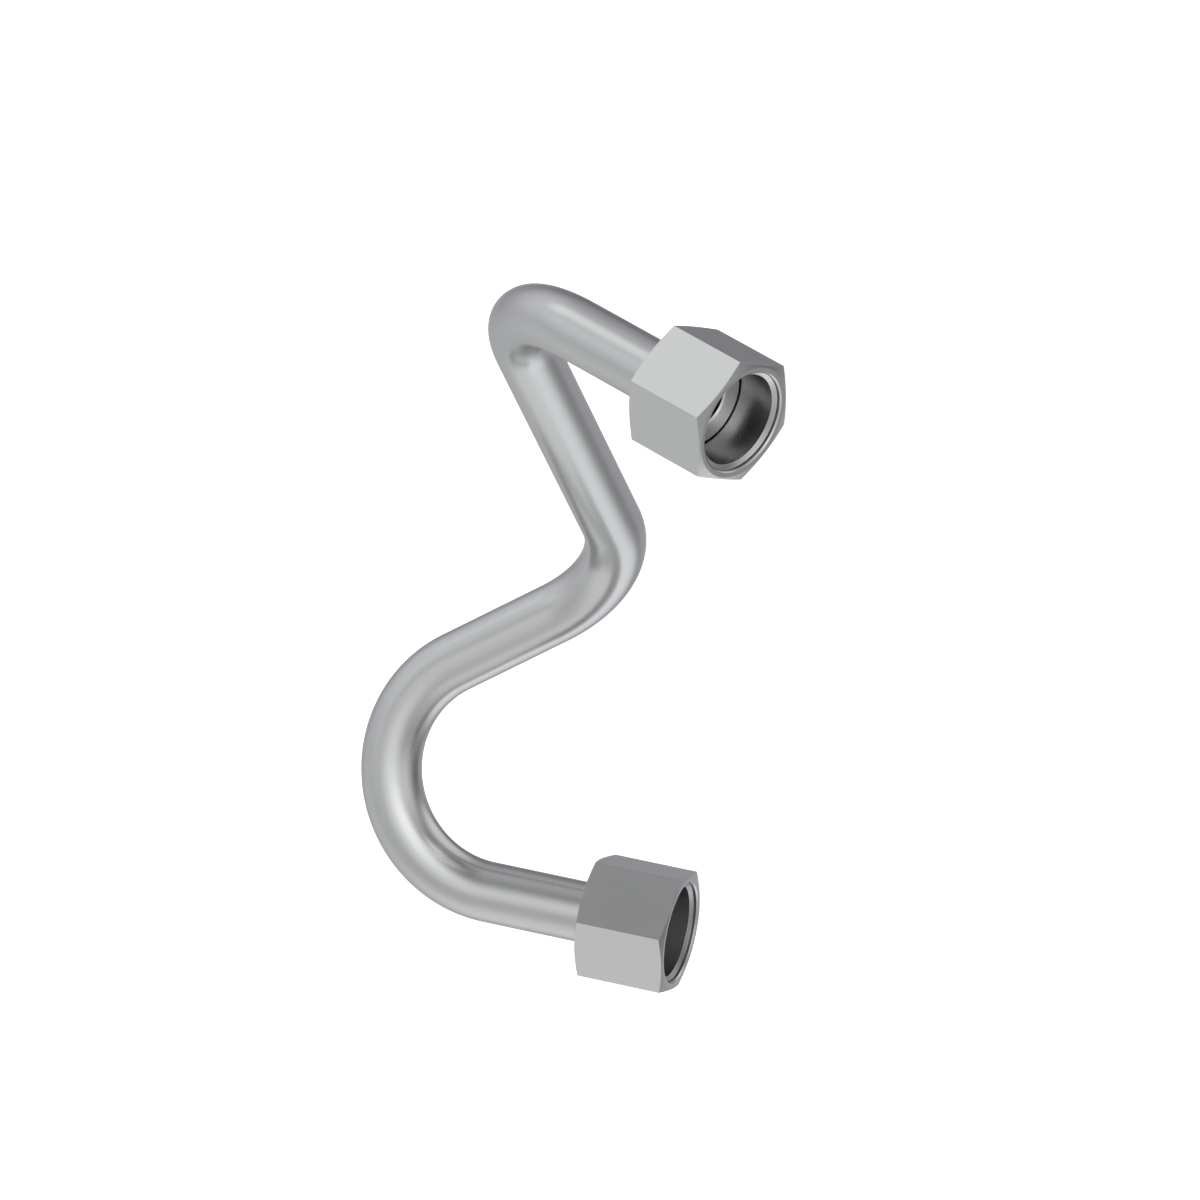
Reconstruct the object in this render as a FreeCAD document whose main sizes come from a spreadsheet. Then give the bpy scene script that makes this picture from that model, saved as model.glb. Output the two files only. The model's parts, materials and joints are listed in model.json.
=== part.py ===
"""Bent tube assembly: a 10 mm tube bent three times in space, with a flat-faced collar brazed on each end.

Each collar holds a loose hexagonal union nut on the tube. The nuts are turned for a 3/8 inch pipe thread,
which is drawn at its minor diameter. The assembly lies as it comes to rest: on the outside of the middle
bend and on the front edge of one flat of each nut. Z is up, and the origin is under the middle of the
assembly, on the surface that it lies on. Lengths are in millimetres and angles in degrees.

The end beside the tight first bend is the hairpin end. The end beside the last bend is the elbow end.
"""

import FreeCAD
import Part
import Sketcher
import math
import os
from FreeCAD import Placement, Rotation, Vector

SIZES = {
    # Tube section, and the bend table read from the hairpin end to the elbow end
    "tube_diameter": 10.0,
    "tube_wall": 1.0,
    "bend_radius": 20.0,
    "hairpin_straight": 24.2,
    "lower_straight": 19.0,
    "upper_straight": 49.5,
    "elbow_straight": 26.2,
    "hairpin_bend_angle": 144.0,
    "middle_bend_angle": 76.0,
    "elbow_bend_angle": 87.0,
    "middle_twist_angle": -125.0,
    "elbow_twist_angle": 128.0,
    # Collar brazed on each tube end
    "collar_diameter": 14.4,
    "collar_length": 4.3,
    "collar_lip": 1.3,
    "collar_bevel": 0.3,
    "collar_chamfer": 0.6,
    "braze_gap": 0.05,
    # Union nut
    "across_flats": 19.0,
    "nut_length": 15.2,
    "nut_face_diameter": 18.3,
    "corner_angle": 17.0,
    "thread_minor_diameter": 14.95,
    "thread_relief_diameter": 15.8,
    "entry_diameter": 16.4,
    "entry_depth": 0.75,
    "entry_bevel": 0.25,
    "entry_cone_angle": 60.0,
    "nut_rear_wall": 2.8,
    "tube_hole_clearance": 0.1,
    "tube_hole_chamfer": 0.3,
    "end_play": 0.2,
}

SIDES = 6
REST_STEPS = 40
REST_TOLERANCE = 1e-9
SHOWN_DECIMALS = 3

# Heights and radii that several profiles share, as expressions on the cells of the sheet
TUBE_RADIUS = "sizes.tube_diameter / 2"
BORE_RADIUS = "sizes.tube_diameter / 2 - sizes.tube_wall"
SOCKET_RADIUS = "sizes.tube_diameter / 2 + sizes.braze_gap"
COLLAR_RADIUS = "sizes.collar_diameter / 2"
TUBE_HOLE_RADIUS = "sizes.tube_diameter / 2 + sizes.tube_hole_clearance"
MINOR_RADIUS = "sizes.thread_minor_diameter / 2"
RELIEF_RADIUS = "sizes.thread_relief_diameter / 2"
ENTRY_RADIUS = "sizes.entry_diameter / 2"
FACE_RADIUS = "sizes.nut_face_diameter / 2"
SEAT_HEIGHT = "sizes.nut_rear_wall + sizes.end_play + sizes.collar_length"
ENTRY_CONE_HEIGHT = "(sizes.entry_diameter - sizes.thread_minor_diameter) / 2 / tan(sizes.entry_cone_angle)"
CORNER_CUT_RADIUS = "sizes.across_flats"
CORNER_CUT_HEIGHT = "(sizes.across_flats - sizes.nut_face_diameter / 2) * tan(sizes.corner_angle)"


def make_sheet(doc):
    """The spreadsheet of driving dimensions, one aliased cell for each."""
    sheet = doc.addObject("Spreadsheet::Sheet", "sizes")
    for row, (alias, value) in enumerate(SIZES.items(), start=1):
        sheet.set(f"A{row}", alias)
        sheet.set(f"B{row}", str(value))
        sheet.setAlias(f"B{row}", alias)
    doc.recompute()
    return sheet


def origin_plane(body, role):
    """One of the body's own origin planes."""
    return next(feature for feature in body.Origin.OriginFeatures if feature.Role == role)


def new_sketch(body, name, role):
    """An empty sketch on one of the body's origin planes."""
    sketch = body.newObject("Sketcher::SketchObject", name)
    sketch.AttachmentSupport = [(origin_plane(body, role), "")]
    sketch.MapMode = "FlatFace"
    return sketch


def add_circle(sketch, name, radius):
    """A circle round the sketch's origin, with its radius bound to an expression."""
    circle = sketch.addGeometry(Part.Circle(Vector(), Vector(0, 0, 1), 1), False)
    sketch.addConstraint(Sketcher.Constraint("Coincident", circle, 3, -1, 1))
    index = sketch.addConstraint(Sketcher.Constraint("Radius", circle, 1))
    sketch.renameConstraint(index, name)
    sketch.setExpression("Constraints." + name, radius)


def add_profile(sketch, points):
    """A closed outline through (radius, height) corners, each bound to an expression or on an axis."""
    first = sketch.GeometryCount
    count = len(points)
    spots = [Vector(i, i * (count - i), 0) for i in range(1, count + 1)]
    for i in range(count):
        sketch.addGeometry(Part.LineSegment(spots[i], spots[(i + 1) % count]), False)
    for i, (radius, height) in enumerate(points):
        line = first + i
        after = first + (i + 1) % count
        sketch.addConstraint(Sketcher.Constraint("Coincident", line, 2, after, 1))
        bind_coordinate(sketch, line, "DistanceX", -2, radius)
        bind_coordinate(sketch, line, "DistanceY", -1, height)


def bind_coordinate(sketch, line, kind, axis, expression):
    """Puts a line's start on an axis, or at a bound distance from the origin."""
    if expression == "0":
        sketch.addConstraint(Sketcher.Constraint("PointOnObject", line, 1, axis))
        return
    index = sketch.addConstraint(Sketcher.Constraint(kind, -1, 1, line, 1, 1.0))
    name = f"{kind}_{line}"
    sketch.renameConstraint(index, name)
    sketch.setExpression("Constraints." + name, expression)


def turned(body, kind, name, profiles):
    """A revolution or groove of closed profiles, turned about the body's Z axis."""
    sketch = new_sketch(body, name + "_profile", "XZ_Plane")
    for points in profiles:
        add_profile(sketch, points)
    feature = body.newObject(kind, name)
    feature.Profile = sketch
    feature.ReferenceAxis = (sketch, ["V_Axis"])
    feature.Angle = 360
    return feature


def bend_route(sizes):
    """The tube's centreline, the placement at its far end, and the centre and axis of each bend."""
    radius = sizes.bend_radius
    table = (
        (sizes.hairpin_straight, 0, sizes.hairpin_bend_angle),
        (sizes.lower_straight, sizes.middle_twist_angle, sizes.middle_bend_angle),
        (sizes.upper_straight, sizes.elbow_twist_angle, sizes.elbow_bend_angle),
    )
    here = Placement()
    edges = []
    bends = []
    for straight, twist, turn in table:
        start = here.multVec(Vector(0, 0, straight))
        edges.append(Part.LineSegment(here.Base, start).toShape())
        here = Placement(start, here.Rotation * Rotation(Vector(0, 0, 1), twist))
        middle, end = (here.multVec(on_arc(radius, angle)) for angle in (turn / 2, turn))
        edges.append(Part.Arc(start, middle, end).toShape())
        bends.append((here.multVec(Vector(radius, 0, 0)), here.Rotation.multVec(Vector(0, 1, 0))))
        here = Placement(end, here.Rotation * Rotation(Vector(0, 1, 0), turn))
    finish = here.multVec(Vector(0, 0, sizes.elbow_straight))
    edges.append(Part.LineSegment(here.Base, finish).toShape())
    return Part.Wire(edges), Placement(finish, here.Rotation), bends


def on_arc(radius, angle):
    """A point on a bend that leaves the origin along Z and turns towards X."""
    turn = math.radians(angle)
    return Vector(radius * (1 - math.cos(turn)), 0, radius * math.sin(turn))


def nut_setback(sizes):
    """How far a nut's rear face lies behind the sealing face of its collar."""
    return sizes.collar_length + sizes.end_play + sizes.nut_rear_wall


def nut_edge(sizes, face, down):
    """The lowest point of a nut that has one flat facing down: the middle of that flat's front edge."""
    axis = face.Rotation.multVec(Vector(0, 0, 1))
    side = (down - axis * down.dot(axis)).normalize()
    apothem = sizes.across_flats / 2
    chamfer = (apothem - sizes.nut_face_diameter / 2) * math.tan(math.radians(sizes.corner_angle))
    return face.Base + axis * (sizes.nut_length - nut_setback(sizes) - chamfer) + side * apothem


def bend_underside(sizes, bend, down):
    """The lowest point of a bend's outside."""
    centre, axis = bend
    outward = (down - axis * down.dot(axis)).normalize()
    return centre + outward * sizes.bend_radius + down * (sizes.tube_diameter / 2)


def rest_rotation(sizes, faces, bends):
    """The turn that lays the assembly on both nuts and the middle bend, with both ends along X."""
    hairpin, middle, elbow = bends
    low, high = (face.Base for face in faces)
    up = (low - middle[0]).cross(high - middle[0]).normalize()
    if up.dot(hairpin[0] + elbow[0] - middle[0] * 2) < 0:
        up = -up
    for _ in range(REST_STEPS):
        down = -up
        underside = bend_underside(sizes, middle, down)
        edges = [nut_edge(sizes, face, down) - underside for face in faces]
        plane = edges[0].cross(edges[1]).normalize()
        if plane.dot(up) < 0:
            plane = -plane
        change = (plane - up).Length
        up = plane
    if change > REST_TOLERANCE:
        raise RuntimeError("the resting plane did not settle")
    along = high - low
    heading = (along - up * along.dot(up)).normalize()
    return Rotation(heading, up.cross(heading), up, "ZXY").inverted()


def make_tube(doc, route_wire):
    """The tube: a ring section carried along the bend route."""
    route = doc.addObject("Part::Feature", "tube_route")
    route.Shape = route_wire
    body = doc.addObject("PartDesign::Body", "bent_tube")
    section = new_sketch(body, "tube_section", "XY_Plane")
    add_circle(section, "outside", TUBE_RADIUS)
    add_circle(section, "bore", BORE_RADIUS)
    pipe = body.newObject("PartDesign::AdditivePipe", "tube_along_route")
    pipe.Profile = section
    pipe.Spine = (route, [])
    return body


def make_collar(doc, name):
    """A collar, from its rear face to its flat sealing face, with the socket that the tube is brazed in."""
    shoulder = "sizes.collar_length - sizes.collar_lip"
    body = doc.addObject("PartDesign::Body", name)
    turned(body, "PartDesign::Revolution", "collar_turning", [[
        (SOCKET_RADIUS, "0"),
        (COLLAR_RADIUS + " - sizes.collar_chamfer", "0"),
        (COLLAR_RADIUS, "sizes.collar_chamfer"),
        (COLLAR_RADIUS, "sizes.collar_length"),
        (BORE_RADIUS + " + sizes.collar_bevel", "sizes.collar_length"),
        (BORE_RADIUS, "sizes.collar_length - sizes.collar_bevel"),
        (BORE_RADIUS, shoulder),
        (SOCKET_RADIUS, shoulder),
    ]])
    return body


def make_nut(doc, name):
    """A union nut, from its rear face to its mouth: hexagon, chamfered corners, then the turned inside."""
    body = doc.addObject("PartDesign::Body", name)
    hexagon = body.newObject("PartDesign::AdditivePrism", "hexagon")
    hexagon.Polygon = SIDES
    hexagon.setExpression("Circumradius", f"sizes.across_flats / 2 / cos(180 / {SIDES})")
    hexagon.setExpression("Height", "sizes.nut_length")
    turned(body, "PartDesign::Groove", "corner_chamfers", [
        [
            (FACE_RADIUS, "0"),
            (CORNER_CUT_RADIUS, "0"),
            (CORNER_CUT_RADIUS, CORNER_CUT_HEIGHT),
        ],
        [
            (FACE_RADIUS, "sizes.nut_length"),
            (CORNER_CUT_RADIUS, "sizes.nut_length"),
            (CORNER_CUT_RADIUS, "sizes.nut_length - " + CORNER_CUT_HEIGHT),
        ],
    ])
    turned(body, "PartDesign::Groove", "nut_inside", [[
        ("0", "0"),
        (TUBE_HOLE_RADIUS + " + sizes.tube_hole_chamfer", "0"),
        (TUBE_HOLE_RADIUS, "sizes.tube_hole_chamfer"),
        (TUBE_HOLE_RADIUS, "sizes.nut_rear_wall"),
        (RELIEF_RADIUS, "sizes.nut_rear_wall"),
        (RELIEF_RADIUS, SEAT_HEIGHT),
        (MINOR_RADIUS, SEAT_HEIGHT),
        (MINOR_RADIUS, "sizes.nut_length - sizes.entry_depth - " + ENTRY_CONE_HEIGHT),
        (ENTRY_RADIUS, "sizes.nut_length - sizes.entry_depth"),
        (ENTRY_RADIUS, "sizes.nut_length - sizes.entry_bevel"),
        (ENTRY_RADIUS + " + sizes.entry_bevel", "sizes.nut_length"),
        ("0", "sizes.nut_length"),
    ]])
    return body


def nut_placement(sizes, face, rest):
    """A nut round its collar, turned so that one flat faces down once the assembly lies at rest."""
    down = (rest * face.Rotation).inverted().multVec(Vector(0, 0, -1))
    flat = math.degrees(math.atan2(down.y, down.x)) - 180 / SIDES
    return face * Placement(Vector(0, 0, -nut_setback(sizes)), Rotation(Vector(0, 0, 1), flat))


def check_document(doc):
    """Stops the build if any object failed or any sub-part has no valid solid."""
    for item in doc.Objects:
        if {"Invalid", "Error"} & set(item.State):
            raise RuntimeError(f"{item.Name} failed: {item.State}")
    for body in doc.findObjects("PartDesign::Body"):
        if body.Shape.isNull() or not body.Shape.isValid() or len(body.Shape.Solids) != 1:
            raise RuntimeError(f"{body.Label} is not one valid solid")


def tube_volume(sizes, route_wire):
    """The tube's section area times the length of its centreline."""
    outside = sizes.tube_diameter / 2
    bore = outside - sizes.tube_wall
    return math.pi * (outside**2 - bore**2) * route_wire.Length


def report(body):
    """Prints a sub-part's volume and box."""
    box = body.Shape.optimalBoundingBox(False, False)
    low = [round(value, SHOWN_DECIMALS) for value in (box.XMin, box.YMin, box.ZMin)]
    high = [round(value, SHOWN_DECIMALS) for value in (box.XMax, box.YMax, box.ZMax)]
    print(body.Label, "volume", round(body.Shape.Volume, SHOWN_DECIMALS), "from", low, "to", high)


def lay_down(places, rest):
    """Turns every sub-part to the resting pose and moves the middle of the underside to the origin."""
    turn = Placement(Vector(), rest)
    laid = [body.Shape.transformed((turn * place).toMatrix()) for body, place in places.items()]
    box = Part.makeCompound(laid).optimalBoundingBox(False, False)
    shift = Placement(Vector(-box.Center.x, -box.Center.y, -box.ZMin), Rotation())
    for body, place in places.items():
        body.Placement = shift * turn * place


def main():
    """Builds the document, lays the assembly at rest and writes one STEP file for each sub-part."""
    doc = FreeCAD.newDocument("bent_tube_assembly")
    sizes = make_sheet(doc)
    route_wire, far_end, bends = bend_route(sizes)
    near_end = Placement(Vector(), Rotation(Vector(1, 0, 0), 180))
    lip = Placement(Vector(0, 0, sizes.collar_lip), Rotation())
    faces = {"hairpin": near_end * lip, "elbow": far_end * lip}
    rest = rest_rotation(sizes, list(faces.values()), bends)

    places = {make_tube(doc, route_wire): Placement()}
    for end, face in faces.items():
        behind = Placement(Vector(0, 0, -sizes.collar_length), Rotation())
        places[make_collar(doc, end + "_collar")] = face * behind
        places[make_nut(doc, end + "_nut")] = nut_placement(sizes, face, rest)
    doc.recompute()
    check_document(doc)
    lay_down(places, rest)
    doc.recompute()
    check_document(doc)

    os.makedirs("parts", exist_ok=True)
    for body in places:
        body.Shape.exportStep(os.path.join("parts", body.Label + ".step"))
        report(body)
    expected = round(tube_volume(sizes, route_wire), SHOWN_DECIMALS)
    print("the tube's section times its length is", expected)


main()
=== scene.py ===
"""Bent tube assembly: finely meshed tube, collars and union nuts in satin steel, on a pale lit table.

Lengths are in metres unless a name says otherwise, and angles are in degrees.
"""

import json
import math

import bmesh
import bpy
from mathutils import Matrix, Vector


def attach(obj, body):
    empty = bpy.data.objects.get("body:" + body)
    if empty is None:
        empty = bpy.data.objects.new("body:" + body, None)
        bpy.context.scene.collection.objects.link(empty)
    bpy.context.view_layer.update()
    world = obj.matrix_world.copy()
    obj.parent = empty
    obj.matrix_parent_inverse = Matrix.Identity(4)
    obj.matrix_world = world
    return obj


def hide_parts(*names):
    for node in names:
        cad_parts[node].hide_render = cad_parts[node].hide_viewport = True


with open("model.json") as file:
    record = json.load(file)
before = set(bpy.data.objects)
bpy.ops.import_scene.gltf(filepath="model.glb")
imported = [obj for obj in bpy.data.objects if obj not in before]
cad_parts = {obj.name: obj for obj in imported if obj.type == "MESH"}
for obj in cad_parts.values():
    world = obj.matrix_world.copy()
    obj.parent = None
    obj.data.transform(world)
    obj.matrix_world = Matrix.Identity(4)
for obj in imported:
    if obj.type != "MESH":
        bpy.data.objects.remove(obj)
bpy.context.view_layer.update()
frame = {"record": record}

MM = 0.001

# Tube and its bend table: each straight, the turn of the next bend's plane, and that bend's angle
TUBE_RADIUS = 5.0 * MM
TUBE_BORE_RADIUS = 4.0 * MM
BEND_RADIUS = 20.0 * MM
BENDS = (
    (24.2 * MM, 0.0, 144.0),
    (19.0 * MM, -125.0, 76.0),
    (49.5 * MM, 128.0, 87.0),
)
LAST_STRAIGHT = 26.2 * MM

# Collar
COLLAR_RADIUS = 7.2 * MM
COLLAR_LENGTH = 4.3 * MM
COLLAR_LIP = 1.3 * MM
COLLAR_BEVEL = 0.3 * MM
COLLAR_CHAMFER = 0.6 * MM
SOCKET_CLEARANCE = 0.05 * MM
SOCKET_RADIUS = TUBE_RADIUS + SOCKET_CLEARANCE

# Union nut
NUT_SIDES = 6
NUT_APOTHEM = 9.5 * MM
NUT_LENGTH = 15.2 * MM
NUT_FACE_RADIUS = 9.15 * MM
NUT_CORNER_ANGLE = 17.0
NUT_REAR_WALL = 2.8 * MM
NUT_END_PLAY = 0.2 * MM
THREAD_MINOR_RADIUS = 7.475 * MM
THREAD_RELIEF_RADIUS = 7.9 * MM
ENTRY_RADIUS = 8.2 * MM
ENTRY_DEPTH = 0.75 * MM
ENTRY_BEVEL = 0.25 * MM
COUNTERSINK_ANGLE = 120.0
COUNTERSINK_DEPTH = (ENTRY_RADIUS - THREAD_MINOR_RADIUS) / math.tan(math.radians(COUNTERSINK_ANGLE / 2))
TUBE_HOLE_CLEARANCE = 0.1 * MM
TUBE_HOLE_RADIUS = TUBE_RADIUS + TUBE_HOLE_CLEARANCE
TUBE_HOLE_CHAMFER = 0.3 * MM
NUT_SETBACK = COLLAR_LENGTH + NUT_END_PLAY + NUT_REAR_WALL

# Fineness of the meshes, and the angle past which an edge is drawn sharp
TUBE_SIDES = 96
STRAIGHT_STEP = 3.0 * MM
BEND_STEP = 2.0
TURNED_SIDES = 144
SHARP_ANGLE = 8.0

# Edges of turned pieces, broken where they are sharper than an angle
BREAK_ANGLE = 30.0
BREAK_SEGMENTS = 2
NUT_EDGE_BREAK = 0.04 * MM
COLLAR_EDGE_BREAK = 0.03 * MM

# Slots of a nut's flats and its bore, after its turned steel's, and how far such a wall may lean
DRAWN = 1
# The bore's slot holds steel whose colour is painted darker, as shade inside the nut's hollow
BORE_PAINTED_SHADE = 2
WALL_LEAN = 0.01

# Grain of the steels: noise over each point's place on the straight bar or tube
MADE = "as_made"
LINE_DETAIL = 3
LINE_STRETCH = 0.03
CLOUDS_PER_MM = 0.12
CLOUD_DETAIL = 2
CLOUD_ROUGHNESS = 0.02
CONTRAST = 0.03
LINE_SHARE = (0.2, 0.8)
CLOUD_SHARE = 0.2

# Brightness of the steels at grazing angles, as a share of bare metal's
EDGE_TINT = 0.72

# Camera: the side that it stands on is an azimuth from +X towards +Y
CAMERA_AIM = (0.37 * MM, -2.18 * MM, 17.70 * MM)
CAMERA_AZIMUTH = -37.0
CAMERA_ELEVATION = 16.3
CAMERA_ROLL = -103.4
CAMERA_DISTANCE = 1548.6 * MM
CAMERA_LENS_MM = 293.0

# Soft lights of the studio: azimuth from +X towards +Y, elevation, width, strength and tint
NEUTRAL = (0.99, 1.01, 0.99)
COOL = (0.97, 0.97, 1.06)
SOFT_LIGHTS = {
    "main softbox": (-25, 15, 15, 0.50, NEUTRAL),
    "main softbox surround": (-35, 20, 25, 0.65, NEUTRAL),
    "low front panel": (-35, -25, 25, 0.45, NEUTRAL),
    "low right softbox": (5, -10, 10, 1.00, NEUTRAL),
    "right softbox": (50, 20, 10, 0.45, NEUTRAL),
    "right softbox surround": (60, 20, 30, 0.40, NEUTRAL),
    "back wall": (95, 25, 40, 0.30, COOL),
    "low back panel": (140, -20, 15, 0.20, COOL),
    "far back panel": (150, -15, 25, 0.15, COOL),
    "low far softbox": (-150, -20, 15, 0.50, COOL),
    "far window": (-160, 10, 15, 0.10, COOL),
    "high far panel": (-150, 30, 20, 0.20, NEUTRAL),
    "left wall": (-140, 25, 55, 0.60, NEUTRAL),
    "left window": (-110, 15, 10, 0.15, NEUTRAL),
    "ceiling panel": (10, 60, 20, 0.30, NEUTRAL),
    "bench front": (-55, -45, 20, 0.25, NEUTRAL),
    "bench right": (55, -55, 20, 0.80, NEUTRAL),
    "bench back": (155, -55, 15, 0.30, COOL),
    "bench below": (70, -80, 15, 0.15, NEUTRAL),
}
ROOM_LIGHT = (0.045, 0.045, 0.05)

# Floor
FLOOR_SIZE = 12.0
FLOOR_BRIGHTNESS = 0.82
FLOOR_GLOW = 0.85


def polar(azimuth, elevation):
    """The unit vector at an azimuth from +X towards +Y and an elevation above the horizon."""
    around = math.radians(azimuth)
    above = math.radians(elevation)
    level = math.cos(above)
    return Vector((level * math.cos(around), level * math.sin(around), math.sin(above)))


def grey(level):
    """A plain grey as a shader's colour."""
    return (level, level, level, 1)


def turn(angle, axis):
    """A rotation by an angle about an axis."""
    return Matrix.Rotation(math.radians(angle), 4, axis)


def route():
    """Frames along the tube's centreline, each with its distance from the hairpin end."""
    here = Matrix.Identity(4)
    distance = 0.0
    heading = 0.0
    found = [(here, distance)]
    for straight, twist, angle in (*BENDS, (LAST_STRAIGHT, 0.0, 0.0)):
        count = math.ceil(straight / STRAIGHT_STEP)
        for i in range(1, count + 1):
            along = straight * i / count
            found.append((here @ Matrix.Translation((0, 0, along)), distance + along))
        here, distance = found[-1]
        heading += twist
        centre = turn(heading, "Z") @ Vector((BEND_RADIUS, 0, 0))
        axis = turn(heading, "Z") @ Vector((0, 1, 0))
        count = math.ceil(angle / BEND_STEP)
        for i in range(1, count + 1):
            part = angle * i / count
            moved = Matrix.Translation(centre) @ turn(part, axis) @ Matrix.Translation(-centre)
            found.append((here @ moved, distance + BEND_RADIUS * math.radians(part)))
        here, distance = found[-1]
    return found


def triad(first, second, axis):
    """Right-handed axes from two points and a direction."""
    along = (second - first).normalized()
    side = (axis - along * axis.dot(along)).normalized()
    return Matrix((along, side, along.cross(side))).transposed()


def lying_place(near_face, far_face):
    """The transform from the tube's own frame to the one it lies in, from the record's two threads."""
    mounts = {mount["name"]: mount for mount in frame["record"]["mounts"]}
    real = [mounts["hairpin_thread"], mounts["elbow_thread"]]
    own_points = [
        face @ Vector((0, 0, mount["dims"]["length_mm"] * MM / 2))
        for face, mount in zip((near_face, far_face), real)
    ]
    row_points = [Vector(mount["pos_m"]) for mount in real]
    own = triad(*own_points, near_face.to_3x3() @ Vector((0, 0, 1)))
    row = triad(*row_points, Vector(real[0]["axis"]))
    rotation = (row @ own.transposed()).to_4x4()
    return Matrix.Translation(row_points[0] - rotation @ own_points[0]) @ rotation


def closed_skin(name, rows, made, place):
    """A mesh object skinned over closed rows of points, the last row joined to the first."""
    mesh = bpy.data.meshes.new(name)
    bm = bmesh.new()
    layer = bm.verts.layers.float_vector.new(MADE)
    grid = []
    for row, made_row in zip(rows, made):
        verts = [bm.verts.new(place @ Vector(point)) for point in row]
        for vert, made_place in zip(verts, made_row):
            vert[layer] = made_place
        grid.append(verts)
    for row, after in zip(grid, grid[1:] + grid[:1]):
        for j in range(len(row)):
            k = (j + 1) % len(row)
            bm.faces.new((row[j], row[k], after[k], after[j]))
    bmesh.ops.recalc_face_normals(bm, faces=bm.faces)
    for face in bm.faces:
        face.smooth = True
    for edge in bm.edges:
        edge.smooth = edge.calc_face_angle() < math.radians(SHARP_ANGLE)
    bm.to_mesh(mesh)
    bm.free()
    piece = bpy.data.objects.new(name, mesh)
    bpy.context.scene.collection.objects.link(piece)
    return piece


def angles_round(sides):
    """The angles of a full turn's equal steps, in radians."""
    return [2 * math.pi * j / sides for j in range(sides)]


def turned_point(radius, angle, height):
    """The point at a radius and an angle about Z, in radians, and at a height."""
    return Vector((radius * math.cos(angle), radius * math.sin(angle), height))


def circle(radius, height, sides):
    """Points of a circle about Z at a height."""
    return [turned_point(radius, angle, height) for angle in angles_round(sides)]


def break_edges(piece, width):
    """Small rounded breaks on a piece's sharp edges, as a deburred part has."""
    bevel = piece.modifiers.new("edge_breaks", "BEVEL")
    bevel.width = width
    bevel.segments = BREAK_SEGMENTS
    bevel.limit_method = "ANGLE"
    bevel.angle_limit = math.radians(BREAK_ANGLE)
    bevel.harden_normals = True


def stand_for(piece, node, body):
    """The piece stands for a CAD node, whose own mesh is hidden, and moves with its body."""
    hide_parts(node)
    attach(piece, body)


def make_tube(stations, lying, steel):
    """The bent tube: the outside wall from end to end, then the bore back again."""
    rows = []
    made = []
    for radius, path in ((TUBE_RADIUS, stations), (TUBE_BORE_RADIUS, stations[::-1])):
        ring = circle(radius, 0, TUBE_SIDES)
        for place, distance in path:
            rows.append([place @ point for point in ring])
            made.append([point + Vector((0, 0, distance)) for point in ring])
    piece = closed_skin("bent_tube_skin", rows, made, lying)
    piece.data.materials.append(steel)
    stand_for(piece, "bent_tube", "tube")


def make_collar(end, place, steel):
    """A collar, from its rear face to its sealing face."""
    shoulder = COLLAR_LENGTH - COLLAR_LIP
    profile = (
        (SOCKET_RADIUS, 0),
        (COLLAR_RADIUS - COLLAR_CHAMFER, 0),
        (COLLAR_RADIUS, COLLAR_CHAMFER),
        (COLLAR_RADIUS, COLLAR_LENGTH),
        (TUBE_BORE_RADIUS + COLLAR_BEVEL, COLLAR_LENGTH),
        (TUBE_BORE_RADIUS, COLLAR_LENGTH - COLLAR_BEVEL),
        (TUBE_BORE_RADIUS, shoulder),
        (SOCKET_RADIUS, shoulder),
    )
    rows = [circle(radius, height, TURNED_SIDES) for radius, height in profile]
    piece = closed_skin(end + "_collar_turned", rows, rows, place)
    piece.data.materials.append(steel)
    break_edges(piece, COLLAR_EDGE_BREAK)
    stand_for(piece, end + "_collar", "tube")


def hexagon_radius(angle):
    """The distance from the axis to the hexagon's outline, with a corner at angle 0, in radians."""
    sector = 2 * math.pi / NUT_SIDES
    return NUT_APOTHEM / math.cos(angle % sector - sector / 2)


def nut_column(angle):
    """A nut's outline in the half plane at an angle: its inside, then its outside from the mouth."""
    corner = hexagon_radius(angle)
    cut = (corner - NUT_FACE_RADIUS) * math.tan(math.radians(NUT_CORNER_ANGLE))
    return (
        (TUBE_HOLE_RADIUS + TUBE_HOLE_CHAMFER, 0),
        (TUBE_HOLE_RADIUS, TUBE_HOLE_CHAMFER),
        (TUBE_HOLE_RADIUS, NUT_REAR_WALL),
        (THREAD_RELIEF_RADIUS, NUT_REAR_WALL),
        (THREAD_RELIEF_RADIUS, NUT_SETBACK),
        (THREAD_MINOR_RADIUS, NUT_SETBACK),
        (THREAD_MINOR_RADIUS, NUT_LENGTH - ENTRY_DEPTH - COUNTERSINK_DEPTH),
        (ENTRY_RADIUS, NUT_LENGTH - ENTRY_DEPTH),
        (ENTRY_RADIUS, NUT_LENGTH - ENTRY_BEVEL),
        (ENTRY_RADIUS + ENTRY_BEVEL, NUT_LENGTH),
        (NUT_FACE_RADIUS, NUT_LENGTH),
        (corner, NUT_LENGTH - cut),
        (corner, cut),
        (NUT_FACE_RADIUS, 0),
    )


def make_nut(end, place, turned_steel, drawn_steel, bored_steel_painted_shade):
    """A union nut, turned from drawn bar: its flats keep the bar's finish, and its bore is rougher, with
    its colour painted darker as shade.
    """
    columns = [
        [turned_point(radius, angle, height) for radius, height in nut_column(angle)]
        for angle in angles_round(TURNED_SIDES)
    ]
    rows = list(zip(*columns))
    piece = closed_skin(end + "_nut_turned", rows, rows, place)
    for material in (turned_steel, drawn_steel, bored_steel_painted_shade):
        piece.data.materials.append(material)
    axis = place.to_3x3() @ Vector((0, 0, 1))
    for face in piece.data.polygons:
        if abs(face.normal.dot(axis)) < WALL_LEAN:
            to_axis = (face.center - place.translation).cross(axis).cross(axis)
            # Inward walls are the bore and take the steel painted darker as shade; outward walls are the
            # flats
            face.material_index = BORE_PAINTED_SHADE if to_axis.dot(face.normal) > 0 else DRAWN
    break_edges(piece, NUT_EDGE_BREAK)
    stand_for(piece, end + "_nut", end + "_nut")


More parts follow.
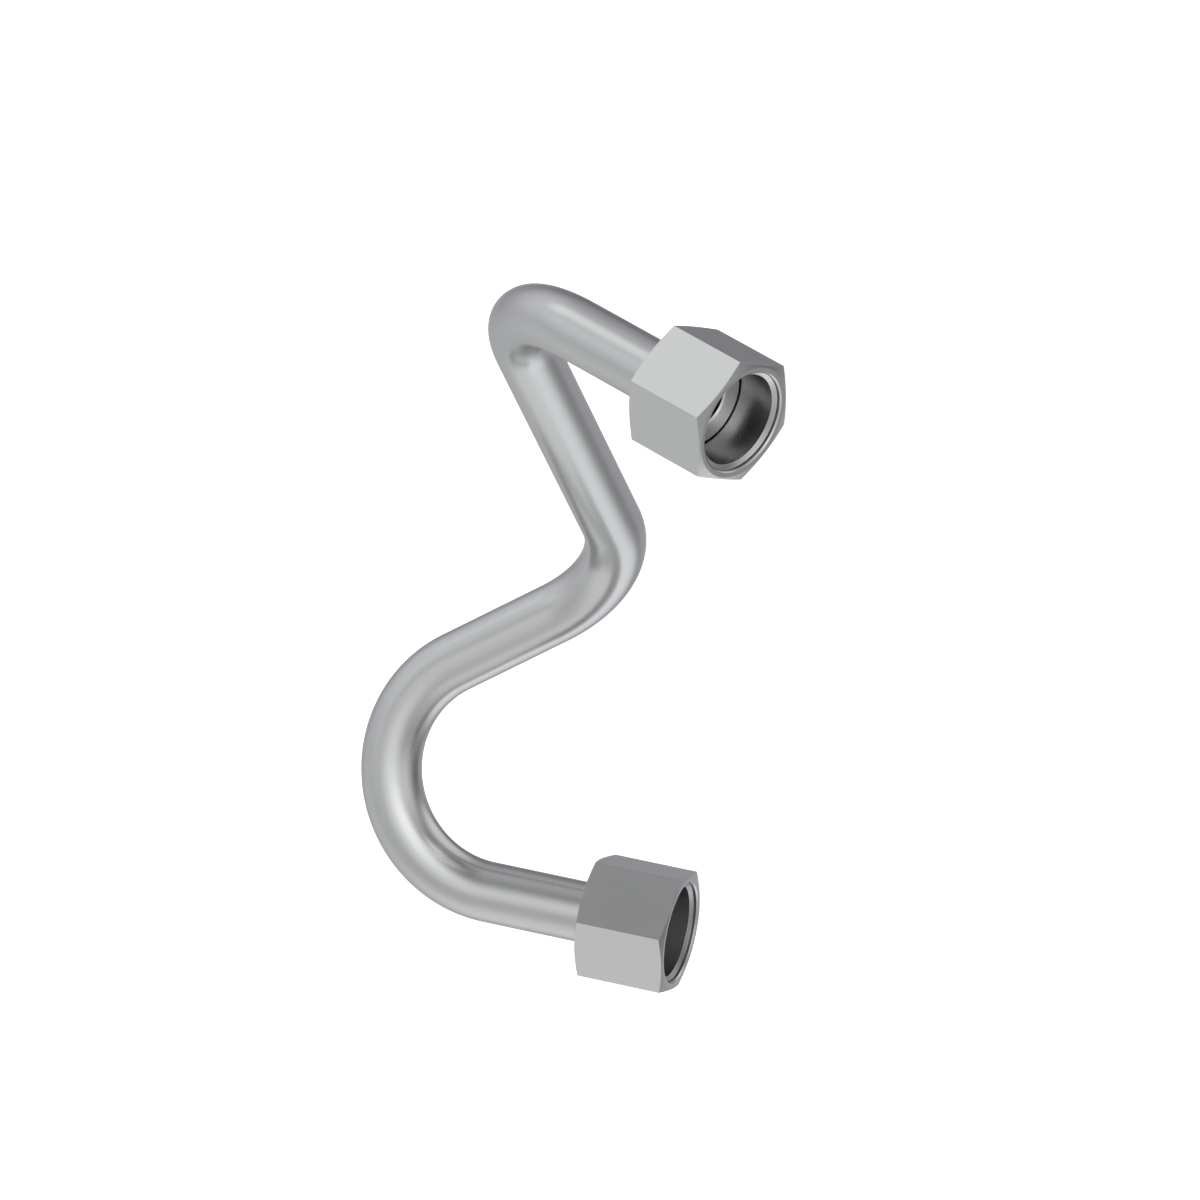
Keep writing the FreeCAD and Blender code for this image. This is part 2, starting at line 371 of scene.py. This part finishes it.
def nut_place(face):
    """A nut's transform round its collar, turned so that one flat faces the floor."""
    axis = face.to_3x3() @ Vector((0, 0, 1))
    down = Vector((0, 0, -1))
    flat = (down - axis * down.dot(axis)).normalized()
    square = Matrix((flat, axis.cross(flat), axis)).transposed().to_4x4()
    rear = face @ Vector((0, 0, -NUT_SETBACK))
    return Matrix.Translation(rear) @ square @ turn(-180 / NUT_SIDES, "Z")


def math_node(tree, operation, first, second=0.0):
    """The output of a math node whose inputs are sockets or numbers."""
    node = tree.nodes.new("ShaderNodeMath")
    node.operation = operation
    for socket, value in zip(node.inputs, (first, second)):
        if isinstance(value, bpy.types.NodeSocket):
            tree.links.new(value, socket)
        else:
            socket.default_value = value
    return node.outputs[0]


def spread(tree, value, low, high):
    """The output of a map range node from 0..1 to low..high."""
    node = tree.nodes.new("ShaderNodeMapRange")
    tree.links.new(value, node.inputs["Value"])
    node.inputs["To Min"].default_value = low
    node.inputs["To Max"].default_value = high
    return node.outputs["Result"]


def noise(tree, vector, scale, detail):
    """The output of a noise texture over a vector socket."""
    node = tree.nodes.new("ShaderNodeTexNoise")
    tree.links.new(vector, node.inputs["Vector"])
    node.inputs["Scale"].default_value = scale
    node.inputs["Detail"].default_value = detail
    return node.outputs["Fac"]


def made_point(tree):
    """The output of the point as it was on the straight bar or tube, in millimetres."""
    attribute = tree.nodes.new("ShaderNodeAttribute")
    attribute.attribute_name = MADE
    scale = tree.nodes.new("ShaderNodeVectorMath")
    scale.operation = "SCALE"
    scale.inputs["Scale"].default_value = 1 / MM
    tree.links.new(attribute.outputs["Vector"], scale.inputs[0])
    return scale.outputs["Vector"]


def drawn_lines(tree, point):
    """A point squeezed along the axis, so that noise over it runs in lengthwise lines."""
    squeeze = tree.nodes.new("ShaderNodeVectorMath")
    squeeze.operation = "MULTIPLY"
    squeeze.inputs[1].default_value = (1, 1, LINE_STRETCH)
    tree.links.new(point, squeeze.inputs[0])
    return squeeze.outputs["Vector"]


def turned_rings(tree, point):
    """A point's radius and height as a vector, so that noise over it runs in rings."""
    parts = tree.nodes.new("ShaderNodeSeparateXYZ")
    tree.links.new(point, parts.inputs[0])
    x, y, z = parts.outputs
    squares = [math_node(tree, "MULTIPLY", part, part) for part in (x, y)]
    radius = math_node(tree, "SQRT", math_node(tree, "ADD", *squares))
    joined = tree.nodes.new("ShaderNodeCombineXYZ")
    tree.links.new(radius, joined.inputs[0])
    tree.links.new(z, joined.inputs[1])
    return joined.outputs[0]


def satin_steel(name, pattern, brightness, lines_per_mm, roughness, relief_mm):
    """Satin steel: machining lines and faint clouds in roughness and colour, and lines in relief."""
    material = bpy.data.materials.new(name)
    material.use_nodes = True
    tree = material.node_tree
    shader = tree.nodes["Principled BSDF"]
    shader.inputs["Metallic"].default_value = 1.0
    shader.inputs["Specular Tint"].default_value = grey(EDGE_TINT)
    point = made_point(tree)
    lines = noise(tree, pattern(tree, point), lines_per_mm, LINE_DETAIL)
    clouds = noise(tree, point, CLOUDS_PER_MM, CLOUD_DETAIL)

    line_part = spread(tree, lines, *roughness)
    cloud_part = spread(tree, clouds, -CLOUD_ROUGHNESS, CLOUD_ROUGHNESS)
    tree.links.new(math_node(tree, "ADD", line_part, cloud_part), shader.inputs["Roughness"])

    tint = tree.nodes.new("ShaderNodeMix")
    tint.data_type = "RGBA"
    tint.inputs["A"].default_value = grey(brightness * (1 - CONTRAST))
    tint.inputs["B"].default_value = grey(brightness * (1 + CONTRAST))
    line_part = spread(tree, lines, *LINE_SHARE)
    cloud_part = spread(tree, clouds, -CLOUD_SHARE, CLOUD_SHARE)
    tree.links.new(math_node(tree, "ADD", line_part, cloud_part), tint.inputs["Factor"])
    tree.links.new(tint.outputs["Result"], shader.inputs["Base Color"])

    bump = tree.nodes.new("ShaderNodeBump")
    bump.inputs["Strength"].default_value = 1.0
    bump.inputs["Distance"].default_value = relief_mm * MM
    tree.links.new(lines, bump.inputs["Height"])
    tree.links.new(bump.outputs["Normal"], shader.inputs["Normal"])
    return material


def light_glow(tree, direction, azimuth, elevation, width, strength, tint):
    """The colour that one soft light gives in a direction: full at its middle, fading past its width."""
    dot = tree.nodes.new("ShaderNodeVectorMath")
    dot.operation = "DOT_PRODUCT"
    dot.inputs[1].default_value = polar(azimuth, elevation)
    tree.links.new(direction, dot.inputs[0])
    away = math_node(tree, "SUBTRACT", 1.0, dot.outputs["Value"])
    away = math_node(tree, "DIVIDE", away, math.radians(width) ** 2)
    away = math_node(tree, "MULTIPLY", math_node(tree, "MULTIPLY", away, away), -1.0)
    glow = tree.nodes.new("ShaderNodeVectorMath")
    glow.operation = "SCALE"
    glow.inputs[0].default_value = Vector(tint) * strength
    tree.links.new(math_node(tree, "EXPONENT", away), glow.inputs["Scale"])
    return glow.outputs["Vector"]


def make_world():
    """The studio: soft lights in fixed directions, and plain white where the camera sees no floor."""
    world = bpy.data.worlds.new("studio")
    bpy.context.scene.world = world
    world.use_nodes = True
    tree = world.node_tree
    tree.nodes.clear()
    direction = tree.nodes.new("ShaderNodeTexCoord").outputs["Generated"]
    room = tree.nodes.new("ShaderNodeCombineXYZ")
    for socket, value in zip(room.inputs, ROOM_LIGHT):
        socket.default_value = value
    total = room.outputs["Vector"]
    for light in SOFT_LIGHTS.values():
        add = tree.nodes.new("ShaderNodeVectorMath")
        add.operation = "ADD"
        tree.links.new(total, add.inputs[0])
        tree.links.new(light_glow(tree, direction, *light), add.inputs[1])
        total = add.outputs["Vector"]
    lights = tree.nodes.new("ShaderNodeBackground")
    tree.links.new(total, lights.inputs["Color"])
    seen = tree.nodes.new("ShaderNodeBackground")
    seen.inputs["Color"].default_value = grey(1)
    choice = tree.nodes.new("ShaderNodeMixShader")
    tree.links.new(tree.nodes.new("ShaderNodeLightPath").outputs["Is Camera Ray"], choice.inputs[0])
    tree.links.new(lights.outputs[0], choice.inputs[1])
    tree.links.new(seen.outputs[0], choice.inputs[2])
    tree.links.new(choice.outputs[0], tree.nodes.new("ShaderNodeOutputWorld").inputs["Surface"])


def make_floor():
    """A pale table, lit softly from inside, that the steel doesn't mirror."""
    material = bpy.data.materials.new("pale_table")
    material.use_nodes = True
    shader = material.node_tree.nodes["Principled BSDF"]
    shader.inputs["Base Color"].default_value = grey(FLOOR_BRIGHTNESS)
    shader.inputs["Roughness"].default_value = 1.0
    shader.inputs["Specular IOR Level"].default_value = 0.0
    shader.inputs["Emission Color"].default_value = grey(1)
    shader.inputs["Emission Strength"].default_value = FLOOR_GLOW
    bpy.ops.mesh.primitive_plane_add(size=FLOOR_SIZE)
    floor = bpy.context.object
    floor.name = "floor"
    floor.data.materials.append(material)
    floor.visible_glossy = False
    floor.visible_shadow = False


def make_camera():
    """A long lens from the photograph's direction, with the photograph's roll."""
    data = bpy.data.cameras.new("camera")
    data.lens = CAMERA_LENS_MM
    camera = bpy.data.objects.new("camera", data)
    bpy.context.scene.collection.objects.link(camera)
    back = polar(CAMERA_AZIMUTH, CAMERA_ELEVATION)
    camera.location = Vector(CAMERA_AIM) + back * CAMERA_DISTANCE
    upright = (-back).to_track_quat("-Z", "Y").to_matrix()
    camera.rotation_mode = "QUATERNION"
    camera.rotation_quaternion = (upright @ turn(CAMERA_ROLL, "Z").to_3x3()).to_quaternion()
    bpy.context.scene.camera = camera


def make_steels():
    """The five finishes: drawn tube, drawn bar, turned nut, turned collar, and bored nut, whose colour
    is painted darker as shade.
    """
    return (
        satin_steel(
            "drawn_tube_steel", drawn_lines,
            brightness=0.62, lines_per_mm=3.0, roughness=(0.21, 0.27), relief_mm=0.0004,
        ),
        satin_steel(
            "drawn_bar_steel", drawn_lines,
            brightness=0.62, lines_per_mm=4.0, roughness=(0.21, 0.27), relief_mm=0.0003,
        ),
        satin_steel(
            "turned_steel", turned_rings,
            brightness=0.62, lines_per_mm=8.0, roughness=(0.21, 0.27), relief_mm=0.0004,
        ),
        satin_steel(
            "turned_collar_steel", turned_rings,
            brightness=0.64, lines_per_mm=8.0, roughness=(0.25, 0.31), relief_mm=0.0004,
        ),
        # The bore's steel: rougher, with finer relief, and its colour painted darker as shade inside the
        # nut
        satin_steel(
            "bored_steel_painted_shade", turned_rings,
            brightness=0.50, lines_per_mm=8.0, roughness=(0.27, 0.31), relief_mm=0.0002,
        ),
    )


def main():
    """Builds the tube, a collar and a nut at each end, then the studio."""
    stations = route()
    near_face = turn(180, "X") @ Matrix.Translation((0, 0, COLLAR_LIP))
    far_face = stations[-1][0] @ Matrix.Translation((0, 0, COLLAR_LIP))
    lying = lying_place(near_face, far_face)

    tube_steel, bar_steel, turned_steel, collar_steel, bored_steel_painted_shade = make_steels()
    make_tube(stations, lying, tube_steel)
    for end, own_face in (("hairpin", near_face), ("elbow", far_face)):
        face = lying @ own_face
        make_collar(end, face @ Matrix.Translation((0, 0, -COLLAR_LENGTH)), collar_steel)
        make_nut(end, nut_place(face), turned_steel, bar_steel, bored_steel_painted_shade)
    make_world()
    make_floor()
    make_camera()
    bpy.context.scene.view_settings.view_transform = "Standard"


main()
